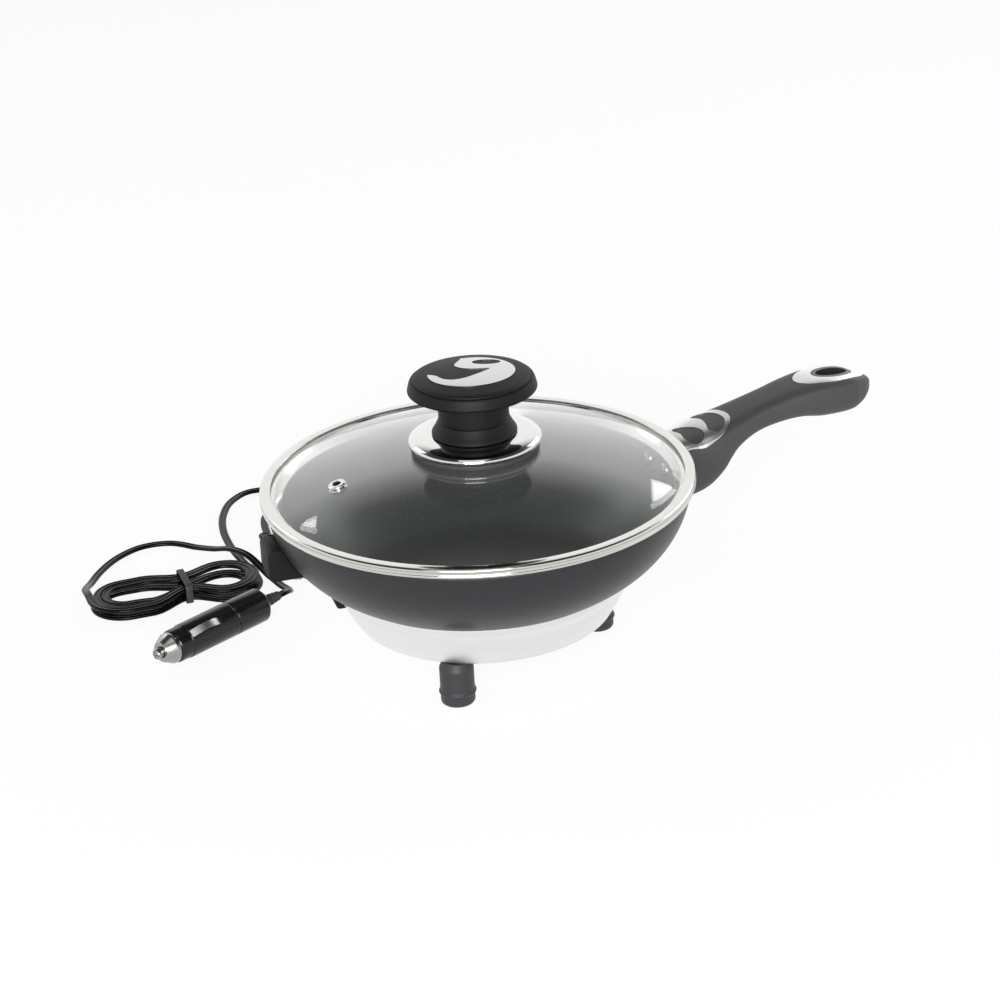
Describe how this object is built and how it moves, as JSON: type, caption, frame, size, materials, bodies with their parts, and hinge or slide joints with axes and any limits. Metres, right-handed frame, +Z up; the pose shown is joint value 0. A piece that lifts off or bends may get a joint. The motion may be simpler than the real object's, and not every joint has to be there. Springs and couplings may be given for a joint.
{
  "type": "electric skillet",
  "caption": "Portable electric skillet: round pan on a tapered footed base, lift-off domed glass lid with knob, side handle, and a flat cord with a vehicle plug.",
  "frame": {"origin": "on the floor under the middle of the object's box, measured without the cord, its hank and its plug", "axes": "+X along the handle, away from the pan; +Z up"},
  "size_m": [0.4442, 0.3982, 0.1691],
  "materials": {
    "pan_coating": "dark grey non-stick coating, satin",
    "brushed_aluminium": "brushed round the axis",
    "plain_steel": "zinc plated",
    "polished_steel": "polished",
    "silver_trim": "satin silver",
    "clear_glass": "clear, tempered",
    "black_plastic": "satin moulded",
    "black_gloss": "gloss moulded",
    "foot_rubber": "matt moulded",
    "black_rubber": "matt",
    "cord_sheath": "glossy flexible sheath",
    "mica": "matt sheet",
    "insulation": "mineral wool felt",
    "heating_ribbon": "oxidised nickel chrome",
    "ceramic": "glazed"
  },
  "bodies": {
    "skillet": {"pan_body": "pan_coating", "base_skirt": "brushed_aluminium", "bottom_cover": "plain_steel", "foot_front": "foot_rubber", "foot_right": "foot_rubber", "foot_back": "foot_rubber", "foot_screw_front": "plain_steel", "foot_screw_right": "plain_steel", "foot_screw_back": "plain_steel", "foot_nut_front": "plain_steel", "foot_nut_right": "plain_steel", "foot_nut_back": "plain_steel", "mica_upper": "mica", "heating_element": "heating_ribbon", "mica_lower": "mica", "insulation_pad": "insulation", "pressure_plate": "plain_steel", "clamp_nut": "plain_steel", "thermal_cutout": "ceramic", "terminal_block": "ceramic", "cord_housing": "black_plastic", "cord_strain_relief": "black_rubber", "handle_body": "black_plastic", "handle_front_trim": "silver_trim", "handle_end_trim": "silver_trim", "hang_eyelet": "black_gloss", "handle_bracket": "plain_steel", "handle_screw": "plain_steel", "handle_rivet_left": "pan_coating", "handle_rivet_right": "pan_coating", "cord_lead": "cord_sheath", "cord_hank": "cord_sheath", "cord_tail": "cord_sheath", "cord_tie": "black_rubber", "plug_body": "black_gloss", "plug_nose_ring": "polished_steel", "plug_strain_relief": "black_rubber", "plug_spring": "plain_steel"},
    "lid": {"lid_glass": "clear_glass", "lid_band": "polished_steel", "vent_grommet": "polished_steel", "knob_seal": "black_rubber", "knob_saucer": "polished_steel", "knob_neck": "black_plastic", "knob_head": "black_plastic", "knob_trim": "silver_trim", "knob_washer": "black_rubber", "knob_screw": "plain_steel"},
    "plug_tip": {"plug_tip_contact": "polished_steel", "plug_fuse": "ceramic"},
    "side_contact_near": {"plug_side_contact_near": "polished_steel"},
    "side_contact_far": {"plug_side_contact_far": "polished_steel"}
  },
  "joints": [
    {"name": "lid_lift", "type": "slide", "parent": "skillet", "child": "lid", "axis": [0, 0, 1], "range_m": [0, 0.15]},
    {"name": "plug_tip_press", "type": "slide", "parent": "skillet", "child": "plug_tip", "axis": [0.9285, 0.3714, 0], "range_m": [0, 0.003], "stiffness_N_per_m": 1000, "springref_m": -0.002, "deforming": ["plug_spring"]},
    {"name": "side_contact_near_press", "type": "slide", "parent": "skillet", "child": "side_contact_near", "axis": [-0.2626, 0.6565, -0.7071], "range_m": [0, 0.0012], "stiffness_N_per_m": 1500, "springref_m": -0.001},
    {"name": "side_contact_far_press", "type": "slide", "parent": "skillet", "child": "side_contact_far", "axis": [0.2626, -0.6565, 0.7071], "range_m": [0, 0.0012], "stiffness_N_per_m": 1500, "springref_m": -0.001}
  ]
}
